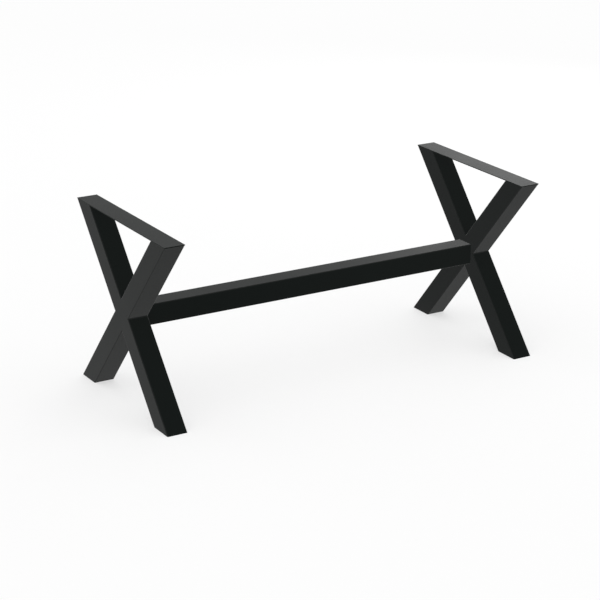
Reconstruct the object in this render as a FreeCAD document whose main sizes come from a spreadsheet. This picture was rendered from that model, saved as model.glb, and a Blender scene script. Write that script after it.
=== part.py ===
import FreeCAD, Part
import math
import os
import Sketcher

# X-frame base of a table: two welded crosses of square steel tube, each under a flat top
# strip, joined by one crossbar. +X runs along the crossbar, +Z up, origin on the floor.

# Driving sizes, in millimetres
SIZES = [
    ("overall_height", 700, "floor to the top of the strips"),
    ("overall_length", 1595, "outer face to outer face of the two crosses"),
    ("frame_width", 700, "width of a cross, over its top strip and over its feet"),
    ("tube_size", 80, "side of the square tube"),
    ("tube_wall", 2, "wall of the square tube"),
    ("tube_corner", 3, "outer corner radius of the square tube"),
    ("strip_thickness", 3, "top strip"),
    ("strip_edge", 0.4, "edge broken along the strip's top face"),
    ("foot_thickness", 3, "plate welded into a tube's mouth at the floor"),
    ("bar_drop", 4.5, "crossbar's axis below the middle of the crossing"),
    ("spigot_length", 120, "welded spigot inside each end of the crossbar"),
    ("spigot_wall", 3, "wall of the spigot"),
    ("spigot_corner", 4, "outer corner radius of the spigot"),
    ("spigot_clearance", 1, "bore of the crossbar less the spigot"),
    ("bolt_inset", 35, "first bolt from the crossbar's end"),
    ("bolt_pitch", 50, "between the two bolts of an end"),
    ("bolt_size", 8, "thread"),
    ("bolt_length", 16, "under the head"),
    ("head_height", 5.3, "hexagon head"),
    ("hexagon_size", 13, "across flats of the bolt's head and the weld nut"),
    ("head_bevel", 30, "degrees, bevel that rounds off the head's corners"),
    ("hole_clearance", 1, "bolt hole larger than the bolt"),
    ("washer_size", 16, "across the washer"),
    ("washer_thickness", 1.6, "washer"),
    ("washer_clearance", 0.4, "washer's hole larger than the bolt"),
    ("nut_height", 6.5, "weld nut"),
    ("nut_clearance", 0.1, "nut's bore larger than the bolt"),
]

# Sizes that follow from the driving ones. A leg leans so that a tube of this size reaches from
# the end of the floor line to the opposite end of the strip; its cuts are measured along its axis.
LAYOUT = [
    ("rise", "sizes.overall_height - sizes.strip_thickness"),
    ("diagonal", "sqrt(rise ^ 2 + sizes.frame_width ^ 2)"),
    ("lean", "atan(rise / sizes.frame_width) + asin(sizes.tube_size / diagonal)"),
    ("crossing_height", "rise / 2"),
    ("level_cut", "crossing_height / sin(lean)"),
    ("level_slope", "1 / tan(lean)"),
    ("joint_cut", "sizes.tube_size / 2 / sin(2 * lean)"),
    ("joint_slope", "1 / tan(2 * lean)"),
    ("tube_bore", "sizes.tube_size - 2 * sizes.tube_wall"),
    ("bore_corner", "sizes.tube_corner - sizes.tube_wall"),
    ("hexagon_corner", "sizes.hexagon_size / sqrt(3)"),
    ("frame_middle", "(sizes.overall_length - sizes.tube_size) / 2"),
    ("bar_end", "sizes.overall_length / 2 - sizes.tube_size"),
    ("bar_height", "crossing_height - sizes.bar_drop"),
    ("bar_underside", "bar_height - sizes.tube_size / 2"),
    ("spigot_size", "tube_bore - sizes.spigot_clearance"),
    ("spigot_bore", "spigot_size - 2 * sizes.spigot_wall"),
    ("spigot_bore_corner", "sizes.spigot_corner - sizes.spigot_wall"),
    ("spigot_height", "bar_height - sizes.spigot_clearance / 2"),
    ("spigot_floor", "bar_underside + sizes.tube_wall + sizes.spigot_wall"),
    ("first_bolt", "bar_end - sizes.bolt_inset"),
    ("second_bolt", "first_bolt - sizes.bolt_pitch"),
    ("hole_size", "sizes.bolt_size + sizes.hole_clearance"),
    ("washer_hole", "sizes.bolt_size + sizes.washer_clearance"),
    ("nut_bore", "sizes.bolt_size + sizes.nut_clearance"),
]

# Document, with the driving sizes in a sheet and the others bound to it
doc = FreeCAD.newDocument("table_base")
sheet = doc.addObject("Spreadsheet::Sheet", "sizes")
for row, (name, value, meaning) in enumerate(SIZES, start=1):
    sheet.set(f"A{row}", meaning)
    sheet.set(f"B{row}", str(value))
    sheet.setAlias(f"B{row}", name)
doc.recompute()

layout = doc.addObject("App::VarSet", "layout")
for name, formula in LAYOUT:
    kind = "App::PropertyAngle" if name == "lean" else "App::PropertyFloat"
    layout.addProperty(kind, name, "layout")
    layout.setExpression(name, formula)
doc.recompute()


def worth(formula):
    """A formula's present value, where a sketch starts from."""
    return float(layout.evalExpression(formula))


def origin_plane(body, role):
    return next(o for o in body.Origin.OriginFeatures if o.Role == role)


def new_body(name, x="0", y="0", z="0", tilt="0"):
    """An empty body, placed by formulas and tilted about X."""
    body = doc.addObject("PartDesign::Body", name)
    body.Label = name
    body.Placement = FreeCAD.Placement(FreeCAD.Vector(), FreeCAD.Rotation(FreeCAD.Vector(1, 0, 0), 1))
    body.setExpression("Placement.Base.x", x)
    body.setExpression("Placement.Base.y", y)
    body.setExpression("Placement.Base.z", z)
    body.setExpression("Placement.Rotation.Angle", tilt)
    return body


def new_sketch(body, name, role):
    sketch = body.newObject("Sketcher::SketchObject", f"{body.Name}_{name}")
    sketch.AttachmentSupport = [(origin_plane(body, role), "")]
    sketch.MapMode = "FlatFace"
    return sketch


def bind(sketch, kind, where, formula):
    """Add a dimension to a sketch and drive it by a formula."""
    index = sketch.addConstraint(Sketcher.Constraint(kind, *where, worth(formula)))
    sketch.setExpression(f"Constraints[{index}]", formula)


def polygon(sketch, corners):
    """Closed outline, each corner set out from the sketch's origin by two formulas."""
    points = [FreeCAD.Vector(worth(across), worth(up), 0) for across, up in corners]
    count = len(points)
    first = sketch.GeometryCount
    for i in range(count):
        sketch.addGeometry(Part.LineSegment(points[i], points[(i + 1) % count]))
    for i in range(count):
        sketch.addConstraint(Sketcher.Constraint("Coincident", first + i, 2, first + (i + 1) % count, 1))
    for i, (across, up) in enumerate(corners):
        bind(sketch, "DistanceX", (-1, 1, first + i, 1), across)
        bind(sketch, "DistanceY", (-1, 1, first + i, 1), up)


def circle(sketch, diameter, across="0", up="0"):
    centre = FreeCAD.Vector(worth(across), worth(up), 0)
    edge = sketch.addGeometry(Part.Circle(centre, FreeCAD.Vector(0, 0, 1), worth(diameter) / 2))
    bind(sketch, "Diameter", (edge,), diameter)
    bind(sketch, "DistanceX", (-1, 1, edge, 3), across)
    bind(sketch, "DistanceY", (-1, 1, edge, 3), up)


def rounded_square(sketch, side, corner):
    """Square about the origin with an arc tangent at each corner."""
    half, radius = worth(side) / 2, worth(corner)
    inner = half - radius
    lines, arcs = [], []
    for turn in range(4):
        spin = FreeCAD.Rotation(FreeCAD.Vector(0, 0, 1), 90 * turn)
        ends = [spin.multVec(FreeCAD.Vector(along, -half, 0)) for along in (-inner, inner)]
        lines.append(sketch.addGeometry(Part.LineSegment(*ends)))
        centre = spin.multVec(FreeCAD.Vector(inner, -inner, 0))
        round_edge = Part.Circle(centre, FreeCAD.Vector(0, 0, 1), radius)
        start = math.radians(90 * turn - 90)
        arcs.append(sketch.addGeometry(Part.ArcOfCircle(round_edge, start, start + math.pi / 2)))
    for i in range(4):
        sketch.addConstraint(Sketcher.Constraint("Tangent", lines[i], 2, arcs[i], 1))
        sketch.addConstraint(Sketcher.Constraint("Tangent", arcs[i], 2, lines[(i + 1) % 4], 1))
        level = "Horizontal" if i % 2 == 0 else "Vertical"
        sketch.addConstraint(Sketcher.Constraint(level, lines[i]))
    for i in range(1, 4):
        sketch.addConstraint(Sketcher.Constraint("Equal", arcs[0], arcs[i]))
    bind(sketch, "Radius", (arcs[0],), corner)
    bind(sketch, "DistanceX", (lines[3], 1, lines[1], 1), side)
    bind(sketch, "DistanceY", (lines[0], 1, lines[2], 1), side)
    sketch.addConstraint(Sketcher.Constraint("Symmetric", arcs[0], 3, arcs[2], 3, -1, 1))


def pad(body, sketch, length, middle=False, backwards=False):
    feature = body.newObject("PartDesign::Pad", f"{sketch.Name}_pad")
    feature.Profile = sketch
    feature.setExpression("Length", length)
    feature.Midplane = middle
    feature.Reversed = backwards
    return feature


def cut_through(body, sketch, both_ways=False):
    """Cut the profile away below its plane, or on both sides of it, to the end of the body."""
    feature = body.newObject("PartDesign::Pocket", f"{sketch.Name}_cut")
    feature.Profile = sketch
    feature.Type = "ThroughAll"
    feature.Midplane = both_ways


# Legs
def saw_cut(body, name, offset, slope, beyond):
    """Saw the stock where z = offset + slope * y, and take away what lies towards beyond."""
    sketch = new_sketch(body, name, "YZ_Plane")
    reach = "sizes.tube_size"
    polygon(sketch, [
        (f"-{reach}", f"{offset} - {reach} * {slope}"),
        (reach, f"{offset} + {reach} * {slope}"),
        (reach, beyond),
        (f"-{reach}", beyond),
    ])
    cut_through(body, sketch, both_ways=True)


def sawn_leg(name, side, leaning, lower_cut, upper_cut, outer, corner, bore=None, bore_corner=None):
    """Length of leg section through the crossing, its axis tilted from upright, sawn at both ends.

    side is -1 or 1 for the left or right cross, leaning is 1 for a leg that rises to +Y.
    Each cut is a pair of formulas, its offset along the axis and its slope.
    """
    tilt = f"{leaning} * (layout.lean - 90 deg)"
    body = new_body(name, f"{side} * layout.frame_middle", z="layout.crossing_height", tilt=tilt)
    section = new_sketch(body, "section", "XY_Plane")
    rounded_square(section, outer, corner)
    if bore:
        rounded_square(section, bore, bore_corner)
    pad(body, section, "2 * layout.diagonal", middle=True)
    for end, (offset, slope), sign in (("lower", lower_cut, "-"), ("upper", upper_cut, "")):
        saw_cut(body, end, offset, f"{leaning} * {slope}", f"{sign}layout.diagonal")
    return body


FLOOR = ("-layout.level_cut", "layout.level_slope")
TOP = ("layout.level_cut", "layout.level_slope")
ABOVE_THROUGH_LEG = ("layout.joint_cut", "layout.joint_slope")
BELOW_THROUGH_LEG = ("-layout.joint_cut", "layout.joint_slope")
FOOT_TOP = ("(sizes.foot_thickness - layout.crossing_height) / sin(layout.lean)", "layout.level_slope")
TUBE = ("sizes.tube_size", "sizes.tube_corner", "layout.tube_bore", "layout.bore_corner")
TUBE_FILL = ("layout.tube_bore", "layout.bore_corner")

SIDES = (("left", -1), ("right", 1))
BOLTS = (("outer", "layout.first_bolt"), ("inner", "layout.second_bolt"))

bodies = []
for hand, side in SIDES:
    # Cross: one leg runs through, the other is two halves mitred against it.
    # The right cross is the left one turned half round about Z.
    bodies.append(sawn_leg(f"through_leg_{hand}", side, -side, FLOOR, TOP, *TUBE))
    bodies.append(sawn_leg(f"upper_leg_{hand}", side, side, ABOVE_THROUGH_LEG, TOP, *TUBE))
    bodies.append(sawn_leg(f"lower_leg_{hand}", side, side, FLOOR, BELOW_THROUGH_LEG, *TUBE))

    # Foot plates: set into the tube mouths, flush with the floor cut
    bodies.append(sawn_leg(f"foot_plate_through_{hand}", side, -side, FLOOR, FOOT_TOP, *TUBE_FILL))
    bodies.append(sawn_leg(f"foot_plate_lower_{hand}", side, side, FLOOR, FOOT_TOP, *TUBE_FILL))

    # Top strip: flat bar as wide as the tube, lying on both leg tops
    strip = new_body(f"top_strip_{hand}", f"{side} * layout.frame_middle", z="layout.rise")
    outline = new_sketch(strip, "outline", "XY_Plane")
    half_width, half_length = "sizes.tube_size / 2", "sizes.frame_width / 2"
    polygon(outline, [
        (f"-{half_width}", f"-{half_length}"),
        (half_width, f"-{half_length}"),
        (half_width, half_length),
        (f"-{half_width}", half_length),
    ])
    bar = pad(strip, outline, "sizes.strip_thickness")
    doc.recompute()
    top_face = max(range(len(bar.Shape.Faces)), key=lambda i: bar.Shape.Faces[i].CenterOfMass.z)
    edge = strip.newObject("PartDesign::Chamfer", f"{strip.Name}_edge")
    edge.Base = (bar, [f"Face{top_face + 1}"])
    edge.setExpression("Size", "sizes.strip_edge")
    bodies.append(strip)

    # Spigot: short tube welded to the cross, inside the crossbar's end and resting on its floor
    spigot = new_body(f"spigot_{hand}", f"{side} * layout.bar_end", z="layout.spigot_height")
    section = new_sketch(spigot, "section", "YZ_Plane")
    rounded_square(section, "layout.spigot_size", "sizes.spigot_corner")
    rounded_square(section, "layout.spigot_bore", "layout.spigot_bore_corner")
    pad(spigot, section, "sizes.spigot_length", backwards=side > 0)
    holes = new_sketch(spigot, "bolt_holes", "XY_Plane")
    for _, along in BOLTS:
        circle(holes, "layout.hole_size", f"{side} * ({along} - layout.bar_end)")
    cut_through(spigot, holes)
    bodies.append(spigot)

# Crossbar: one tube between the crosses, with bolt holes in its underside only
crossbar = new_body("crossbar", z="layout.bar_height")
section = new_sketch(crossbar, "section", "YZ_Plane")
rounded_square(section, "sizes.tube_size", "sizes.tube_corner")
rounded_square(section, "layout.tube_bore", "layout.bore_corner")
pad(crossbar, section, "2 * layout.bar_end", middle=True)
holes = new_sketch(crossbar, "bolt_holes", "XY_Plane")
for _, along in BOLTS:
    for _, side in SIDES:
        circle(holes, "layout.hole_size", f"{side} * {along}")
cut_through(crossbar, holes)
bodies.append(crossbar)


# Fasteners
def hexagon(sketch):
    """Regular hexagon about the origin, two of its flats square to the sketch's Y."""
    corner = "layout.hexagon_corner"
    polygon(sketch, [(f"{corner} * cos({60 * i})", f"{corner} * sin({60 * i})") for i in range(6)])


def bolt(name, x):
    """Hexagon bolt pushed up through its washer, the head hanging below."""
    body = new_body(name, x, z="layout.bar_underside - sizes.washer_thickness")
    head = new_sketch(body, "head", "XY_Plane")
    hexagon(head)
    pad(body, head, "sizes.head_height", backwards=True)
    shank = new_sketch(body, "shank", "XY_Plane")
    circle(shank, "sizes.bolt_size")
    pad(body, shank, "sizes.bolt_length")
    bevel = new_sketch(body, "bevel", "XZ_Plane")
    flat, corner = "sizes.hexagon_size / 2", "layout.hexagon_corner"
    polygon(bevel, [
        (flat, "-sizes.head_height"),
        (corner, "-sizes.head_height"),
        (corner, f"-sizes.head_height + ({corner} - {flat}) * tan(sizes.head_bevel)"),
    ])
    bevelled = body.newObject("PartDesign::Groove", f"{name}_bevelled")
    bevelled.Profile = bevel
    bevelled.ReferenceAxis = (bevel, ["V_Axis"])
    bevelled.Angle = 360
    return body


def washer(name, x):
    body = new_body(name, x, z="layout.bar_underside")
    ring = new_sketch(body, "ring", "XY_Plane")
    circle(ring, "sizes.washer_size")
    circle(ring, "layout.washer_hole")
    pad(body, ring, "sizes.washer_thickness", backwards=True)
    return body


def weld_nut(name, x):
    body = new_body(name, x, z="layout.spigot_floor")
    outline = new_sketch(body, "outline", "XY_Plane")
    hexagon(outline)
    circle(outline, "layout.nut_bore")
    pad(body, outline, "sizes.nut_height")
    return body


# Two sets under each end of the crossbar, each bolt up into a nut welded inside the spigot
for hand, side in SIDES:
    for order, along in BOLTS:
        place = f"{side} * {along}"
        bodies.append(bolt(f"bolt_{hand}_{order}", place))
        bodies.append(washer(f"washer_{hand}_{order}", place))
        bodies.append(weld_nut(f"weld_nut_{hand}_{order}", place))

# Check every object, then write one file for each piece
doc.recompute()
for item in doc.Objects:
    if "Invalid" in item.State or "Error" in item.State:
        raise RuntimeError(f"{item.Name} did not compute")
os.makedirs("parts", exist_ok=True)
for body in bodies:
    shape = body.Shape
    if shape.isNull() or not shape.isValid() or len(shape.Solids) != 1:
        raise RuntimeError(f"{body.Name} is not one valid solid")
    shape.exportStep(f"parts/{body.Label}.step")
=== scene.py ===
import math

import bpy
import numpy as np
from mathutils import Matrix, Vector


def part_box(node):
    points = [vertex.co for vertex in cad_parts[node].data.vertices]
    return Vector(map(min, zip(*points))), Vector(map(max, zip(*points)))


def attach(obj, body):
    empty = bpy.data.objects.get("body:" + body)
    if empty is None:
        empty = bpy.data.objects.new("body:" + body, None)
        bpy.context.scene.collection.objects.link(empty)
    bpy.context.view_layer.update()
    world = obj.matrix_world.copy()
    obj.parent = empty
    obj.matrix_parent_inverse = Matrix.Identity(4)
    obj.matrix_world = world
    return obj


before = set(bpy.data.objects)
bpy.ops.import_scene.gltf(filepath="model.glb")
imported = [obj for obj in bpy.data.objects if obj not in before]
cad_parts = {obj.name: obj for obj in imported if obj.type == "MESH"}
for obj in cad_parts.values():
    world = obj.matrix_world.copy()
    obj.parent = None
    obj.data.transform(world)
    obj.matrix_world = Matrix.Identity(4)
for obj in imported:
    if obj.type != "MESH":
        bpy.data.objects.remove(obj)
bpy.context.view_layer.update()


# Camera
# The photographed view: from the left and in front, about 19 degrees above the floor, through
# a long lens. Lengths are in metres, and the camera turns about a point half way up the base.
TURN, TILT, ROLL = math.radians(-31.078), math.radians(19.438), math.radians(0.371)
PIVOT, STAND_OFF = Vector((0, 0, 0.35)), Vector((-0.03967, -0.08006, 7.59596))
aim = (
    Matrix.Rotation(TURN, 3, "Z")
    @ Matrix.Rotation(math.pi / 2 - TILT, 3, "X")
    @ Matrix.Rotation(ROLL, 3, "Z")
)
camera = bpy.data.objects.new("camera", bpy.data.cameras.new("camera"))
camera.data.lens = 119.935
camera.matrix_world = Matrix.Translation(PIVOT + aim @ STAND_OFF) @ aim.to_4x4()
bpy.context.scene.collection.objects.link(camera)
bpy.context.scene.camera = camera
bpy.context.scene.view_settings.view_transform = "Standard"


# Floor
# A plain studio floor, painted matt white and far larger than the view, a hair under the feet.
# The eye sees it lifted towards pure white, with the base's soft shadow. Mirrored rays see it pure
# white, as the photo's bare surroundings are.
class Wire:
    """A node tree and an output in it, so that shader sums are written as Python sums."""

    def __init__(self, tree, socket=None):
        self.tree, self.socket = tree, socket

    def node(self, kind, output=0, inputs=None, **settings):
        """Add any node to the same tree: its settings by name, its inputs by name or number."""
        made = self.tree.nodes.new(kind)
        for name, value in settings.items():
            setattr(made, name, value)
        for name, value in (inputs or {}).items():
            if isinstance(value, Wire):
                self.tree.links.new(value.socket, made.inputs[name])
            else:
                made.inputs[name].default_value = value
        return Wire(self.tree, made.outputs[output])

    def math(self, operation, *others, clamp=False):
        sockets = dict(enumerate((self, *others)))
        return self.node("ShaderNodeMath", inputs=sockets, operation=operation, use_clamp=clamp)

    def __add__(self, other):
        return self.math("ADD", other)

    def __sub__(self, other):
        return self.math("SUBTRACT", other)

    def __rsub__(self, other):
        return self * -1 + other

    def __mul__(self, other):
        return self.math("MULTIPLY", other)

    def __abs__(self):
        return self.math("ABSOLUTE")

    __radd__ = __add__
    __rmul__ = __mul__

    def clamp(self):
        """The same number, kept from 0 to 1."""
        return self.math("ADD", 0, clamp=True)

    def outputs(self, *names):
        """Other outputs of the node that this one comes from."""
        return [Wire(self.tree, self.socket.node.outputs[name]) for name in names]

    def parts(self):
        """The three numbers of a vector."""
        return self.node("ShaderNodeSeparateXYZ", inputs={0: self}).outputs("X", "Y", "Z")

    def noise(self, size, detail=2.0):
        """Noise from 0 to 1 whose lumps are about that many metres across."""
        inputs = {"Vector": self, "Scale": 1 / size, "Detail": detail}
        return self.node("ShaderNodeTexNoise", inputs=inputs)

    def blend(self, first, second):
        """Blend two colours, by this number from 0 to 1."""
        return self.node("ShaderNodeMix", 2, {0: self, 6: first, 7: second}, data_type="RGBA")

    def plug(self, socket):
        self.tree.links.new(self.socket, socket)


def material(name, **settings):
    """A material with one Principled shader. Returns it, the shader and object coordinates."""
    made = bpy.data.materials.new(name)
    made.use_nodes = True
    shader = made.node_tree.nodes["Principled BSDF"]
    for socket, value in settings.items():
        shader.inputs[socket.replace("_", " ")].default_value = value
    return made, shader, Wire(made.node_tree).node("ShaderNodeTexCoord", "Object")


REACH, GAP = 300, 0.0003
PAINT, PURE_WHITE, LIFT = (0.96, 0.96, 0.96, 1), (1, 1, 1, 1), 0.6
corners = [(-REACH, -REACH, 0), (REACH, -REACH, 0), (REACH, REACH, 0), (-REACH, REACH, 0)]
floor_mesh = bpy.data.meshes.new("floor")
floor_mesh.from_pydata(corners, [], [(0, 1, 2, 3)])
floor = bpy.data.objects.new("floor", floor_mesh)
floor.location.z = -GAP
bpy.context.scene.collection.objects.link(floor)
paint, shader, place = material(
    "floor_paint", Base_Color=PAINT, Roughness=1.0, Specular_IOR_Level=0.0
)
seen, mirrored, through = place.node("ShaderNodeLightPath").outputs(
    "Is Camera Ray", "Is Glossy Ray", "Is Transmission Ray"
)
lift = (seen * LIFT + mirrored + through).clamp()
matt = Wire(place.tree, shader.outputs["BSDF"])
white = place.node("ShaderNodeEmission", inputs={"Color": PURE_WHITE, "Strength": 1.0})
lifted = place.node("ShaderNodeMixShader", inputs={0: lift, 1: matt, 2: white})
lifted.plug(place.tree.nodes["Material Output"].inputs["Surface"])
floor_mesh.materials.append(paint)


# Light
# A white tent, brighter overhead and where it meets the floor, and one soft box behind on the
# right that lights the upper faces towards that end.
TENT, OVERHEAD, HORIZON, HORIZON_TOP = 0.68, 0.6, 0.32, 0.3
world = bpy.data.worlds.new("tent")
bpy.context.scene.world = world
world.use_nodes = True
sky = world.node_tree
_, _, height = Wire(sky).node("ShaderNodeTexCoord", "Generated").parts()
climb = (height * (1 / HORIZON_TOP)).clamp()
brightness = TENT + OVERHEAD * height * height + HORIZON * (1 - climb * climb * climb)
brightness.plug(sky.nodes["Background"].inputs["Strength"])
sky.nodes["Background"].inputs["Color"].default_value = PURE_WHITE

soft_box = bpy.data.lights.new("soft_box", "AREA")
soft_box.shape = "RECTANGLE"
soft_box.size, soft_box.size_y = 2.2, 1.6
soft_box.energy = 17
lamp = bpy.data.objects.new("soft_box", soft_box)
lamp.location = (3.8, 3.0, 2.2)
lamp_aim = Vector((0.5, 0, 0.4)) - lamp.location
lamp.rotation_euler = lamp_aim.to_track_quat("-Z", "Y").to_euler()
bpy.context.scene.collection.objects.link(lamp)


# Legs
# Square steel tube with rounded long edges. In each cross one leg runs through, and two half legs
# are welded to its sides. The welded cross is powder coated in satin black and baked: the coat
# flows to a faint orange peel with a finer grain. Its rounded edges are painted a little grey,
# partly as thin coat and partly as a painted highlight.
CORNER = 0.003
low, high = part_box("through_leg_left")
half = (high.x - low.x) / 2
spread, rise = high.y - low.y, high.z - low.z
crossing_x, crossing_z = high.x - half, (high.z + low.z) / 2
lean = math.atan2(rise, spread) + math.asin(2 * half / math.hypot(spread, rise))
shift, footprint = half / math.tan(2 * lean), half / math.sin(2 * lean)


def square_edge(across, up):
    """1 along the rounded edges of a square tube, fading to 0 on its flats FADE further on.

    across and up are measured from the tube's axis. |across| + |up| is 2 half - CORNER where a
    rounded edge begins, and (sqrt 2 - 1) CORNER more than that in its middle.
    """
    FADE = 0.001
    beyond = abs(across) + abs(up) - (2 * half - CORNER - FADE)
    return (beyond * (1 / (FADE + (math.sqrt(2) - 1) * CORNER))).clamp()


def leg_edge(place, way):
    """The rounded edges of the legs that rise to +Y, for way 1, or to -Y, for way -1.

    They stop at the crossing. Its outline reaches footprint each way along the leg, from shift
    on the side where across is positive, and from -shift on the other.
    """
    SHARP = 1000
    x, y, z = place.parts()
    z = z - crossing_z
    across = y * (way * math.sin(lean)) - z * math.cos(lean)
    along = y * (way * math.cos(lean)) + z * math.sin(lean)
    past_crossing = abs(along - across.math("SIGN") * shift) - footprint
    return square_edge(abs(x) - abs(crossing_x), across) * (past_crossing * SHARP).clamp()


def powder_coat(name, thin_coat_and_highlight=None):
    """Satin black powder, greyer where the optional mask gives 1: thin coat, and on tube edges a
    painted highlight.
    """
    BLACK, PALER_BLACK = (0.0006, 0.0026, 0.0019, 1), (0.0012, 0.0034, 0.0026, 1)
    # The grey below stands for thin coat, and on the rounded tube edges it is also a painted
    # highlight.
    THIN_AND_HIGHLIGHT_GREY = (0.013, 0.0145, 0.014, 1)
    PEEL_HEIGHT, GRAIN_HEIGHT = 0.00006, 0.000015
    coat, shader, place = material(name, IOR=1.5, Specular_IOR_Level=0.09)
    drift, peel, grain = place.noise(0.25, 3), place.noise(0.0032, 2), place.noise(0.0007, 1)
    colour = grain.blend(BLACK, PALER_BLACK)
    # Where the mask gives 1 the colour is painted grey: thin coat, and on edges a painted
    # highlight.
    if thin_coat_and_highlight:
        thin_and_highlight_share = thin_coat_and_highlight(place) * (place.noise(0.03, 3) * 0.6 + 0.7)
        colour = thin_and_highlight_share.clamp().blend(colour, THIN_AND_HIGHLIGHT_GREY)
    colour.plug(shader.inputs["Base Color"])
    (drift * 0.08 + peel * 0.04 + 0.33).plug(shader.inputs["Roughness"])
    relief = peel * PEEL_HEIGHT + grain * GRAIN_HEIGHT
    inputs = {"Height": relief, "Strength": 1.0, "Distance": 1.0}
    place.node("ShaderNodeBump", inputs=inputs).plug(shader.inputs["Normal"])
    return coat


def dress(look, *names):
    """Give CAD pieces one finish. They mirror no neighbour, as the photo's even faces don't."""
    for name in names:
        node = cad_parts[name]
        node.data.materials.clear()
        node.data.materials.append(look)
        node.visible_glossy = False


# The rounded edges of the legs are painted grey, partly as thin coat and partly as a painted
# highlight.
dress(powder_coat("coat_rising_legs", lambda place: leg_edge(place, 1)),
      "through_leg_left", "upper_leg_right", "lower_leg_right")
dress(powder_coat("coat_falling_legs", lambda place: leg_edge(place, -1)),
      "through_leg_right", "upper_leg_left", "lower_leg_left")


# Welds
# Each half leg is welded to the through leg all round, and each strip to the legs under it. On
# the outer faces the weld is ground flush with the tubes, and in the inner corners it stays as a
# small rippled bead. All of it lies under the coat.
coat = powder_coat("powder_coat")
bead_coat = powder_coat("coat_on_beads", lambda place: place.noise(0.0024) * 0.6 + 0.5)
ALONG_BAR = np.array((1, 0, 0))
ALONG = np.array((0, math.cos(lean), math.sin(lean)))
ACROSS = np.array((0, math.sin(lean), -math.cos(lean)))
CROSSING = np.array((crossing_x, 0, crossing_z))


def weld(name, skins, look, smooth, hand):
    """One object from several closed skins on the left cross, turned half round for the right.

    skins is an array (skin, ring, point, 3). In each skin quads join every ring to the next one,
    and the first and the last ring are capped.
    """
    skins = np.array(skins)
    count, rings, size = skins.shape[:3]
    here, beside = np.arange(size), np.roll(np.arange(size), -1)
    band = np.stack((here, beside, beside + size, here + size), -1)
    start = np.arange(count)[:, None, None, None] * rings * size
    sides = start + np.arange(rings - 1)[:, None, None] * size + band
    caps = start[..., 0] + np.stack((here[::-1], here + (rings - 1) * size))
    faces = sides.reshape(-1, 4).tolist() + caps.reshape(-1, size).tolist()
    if hand == "right":
        skins = skins * (-1, -1, 1)
    mesh = bpy.data.meshes.new(name)
    mesh.from_pydata(skins.reshape(-1, 3).tolist(), [], faces)
    mesh.polygons.foreach_set("use_smooth", [smooth] * len(faces))
    mesh.materials.append(look)
    piece = bpy.data.objects.new(name, mesh)
    piece.visible_glossy = False
    bpy.context.scene.collection.objects.link(piece)
    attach(piece, "root")


def ground_weld(outward, side):
    """Fill of the hollow that the through leg's rounded edge leaves beside a half leg's cut end.

    outward is the sign of X, and side that of ACROSS. At each station along the through leg the
    fill is bounded by the rounded edge, by the cut end and by a plane that stands reach beyond
    the edge's centre. reach is CORNER, but sqrt(CORNER^2 - past^2) where the station is past by
    that much from the half leg's flat, over the half leg's own rounded edge. The stations are
    footprint times the sine of an angle, and end just short of the tips, which have no width.
    """
    END = 1.51
    middle = side * shift
    station = middle + footprint * np.sin(np.linspace(-END, END, 33))
    past = np.abs(station - middle) * math.sin(2 * lean) - (half - CORNER)
    reach = np.sqrt(CORNER**2 - np.clip(past, 0, CORNER) ** 2)[:, None]
    turn = np.arcsin(reach / CORNER) * np.linspace(0, 1, 7)
    x = np.hstack((half - CORNER + CORNER * np.sin(turn), half - CORNER + reach))
    y = np.hstack((half - CORNER + CORNER * np.cos(turn), np.full_like(reach, half)))
    x, y = outward * x[..., None], side * y[..., None]
    rings = CROSSING + x * ALONG_BAR + station[:, None, None] * ALONG + y * ACROSS
    return rings[::outward * side]


def bead(corner, first, second, seed):
    """Rippled weld along X, in the corner between two faces that leave it along first and second.

    The throat is a quadratic curve from one face to the other that bows in a little. Its size
    wanders, swings by a few percent at each ripple and falls to a blunt tip at both ends.
    """
    RIPPLE, SWING, SIZE, END, BLUNT = 0.0024, 0.07, 0.0032, 0.002, 0.1
    rng = np.random.default_rng(seed)
    x = np.linspace(-(half - END), half - END, 240)
    wander = np.interp(x, np.linspace(x[0], x[-1], 12), rng.uniform(0.9, 1.1, 12))
    slip = np.interp(x, np.linspace(x[0], x[-1], 20), rng.uniform(-0.3, 0.3, 20))
    ripple = 1 + SWING * np.abs(np.sin(math.pi * x / RIPPLE + slip))
    tip = np.sqrt(np.clip((half - END - np.abs(x)) / END + BLUNT, 0, 1))
    size = SIZE * wander * ripple * tip
    bend = np.linspace(0, 1, 7)[:, None]
    bow = 0.3 * (first + second)
    throat = (1 - bend) ** 2 * first + 2 * bend * (1 - bend) * bow + bend**2 * second
    profile = np.concatenate((np.zeros((1, 3)), throat))
    rings = corner + x[:, None, None] * ALONG_BAR + size[:, None, None] * profile
    return rings if np.cross(first, second)[0] > 0 else rings[::-1]


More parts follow.
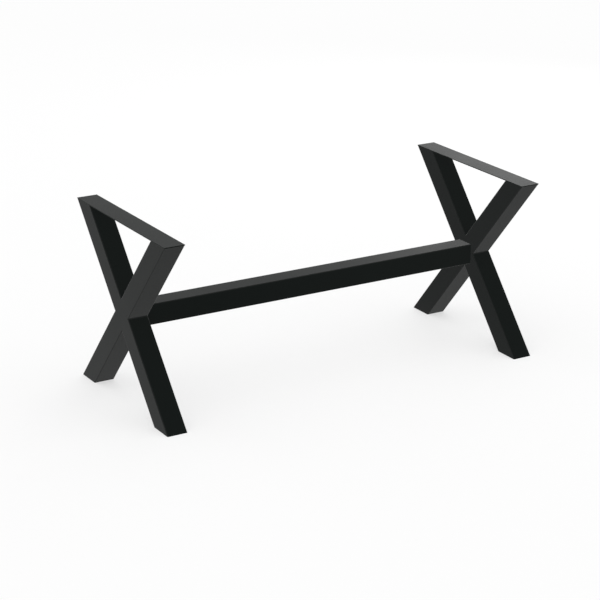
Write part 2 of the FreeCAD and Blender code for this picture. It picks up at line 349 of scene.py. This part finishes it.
for hand in ("left", "right"):
    fills = [ground_weld(outward, side) for outward in (-1, 1) for side in (-1, 1)]
    weld(f"ground_weld_{hand}", fills, coat, False, hand)
    beads = []
    # The four inner corners of the crossing
    for side in (-1, 1):
        half_leg = side * (math.cos(2 * lean) * ALONG + math.sin(2 * lean) * ACROSS)
        for end in (-1, 1):
            corner = CROSSING + (side * shift + end * footprint) * ALONG + side * half * ACROSS
            beads.append(bead(corner, end * ALONG, half_leg, 10 * side + end + 50))
    # Under the strip, on the inner side of each leg
    for end in (-1, 1):
        corner = np.array((crossing_x, end * (spread / 2 - 2 * half / math.sin(lean)), rise))
        strip = np.array((0, -end, 0))
        leg = np.array((0, -end * math.cos(lean), -math.sin(lean)))
        beads.append(bead(corner, strip, leg, 70 + end))
    weld(f"weld_bead_{hand}", beads, bead_coat, True, hand)


# Top strips, foot plates and spigots
# Flat bar on the leg tops, a plate in each tube mouth at the floor, and the short tubes inside
# the crossbar's ends. They are welded to the crosses and coated with them.
dress(coat, "top_strip_left", "top_strip_right", "spigot_left", "spigot_right",
      *(f"foot_plate_{leg}_{hand}" for leg in ("through", "lower") for hand in ("left", "right")))


# Crossbar
# The same tube, sawn square at both ends and coated by itself. It slides over the spigots, and
# two bolts at each end hold it from below.
bar_z = sum(corner.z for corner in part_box("crossbar")) / 2


def bar_edge(place):
    """The rounded edges of the bar, which runs along X."""
    _, y, z = place.parts()
    return square_edge(y, z - bar_z)


# The bar's rounded edges get the same painted grey: thin coat and a painted highlight.
dress(powder_coat("coat_crossbar", bar_edge), "crossbar")


# Bolts and washers
# Hexagon bolts and flat washers of steel in black oxide, a little uneven where they were handled.
# Each bolt goes up through its washer, the bar's underside and the spigot into a weld nut.
ends = [f"{hand}_{order}" for hand in ("left", "right") for order in ("outer", "inner")]
oxide, shader, place = material("black_oxide", Metallic=1.0)
bloom = place.noise(0.004, 3)
bloom.blend((0.030, 0.030, 0.033, 1), (0.062, 0.061, 0.064, 1)).plug(shader.inputs["Base Color"])
(bloom * 0.2 + 0.3).plug(shader.inputs["Roughness"])
dress(oxide, *(f"{kind}_{end}" for kind in ("bolt", "washer") for end in ends))


# Weld nuts
# Hexagon steel nuts with bright zinc plate, welded to the floor of the spigots, out of sight
# inside the bar.
zinc, shader, place = material("zinc_plate", Metallic=1.0)
spangle = place.noise(0.003, 3)
spangle.blend((0.55, 0.57, 0.58, 1), (0.70, 0.71, 0.70, 1)).plug(shader.inputs["Base Color"])
(spangle * 0.15 + 0.28).plug(shader.inputs["Roughness"])
dress(zinc, *(f"weld_nut_{end}" for end in ends))
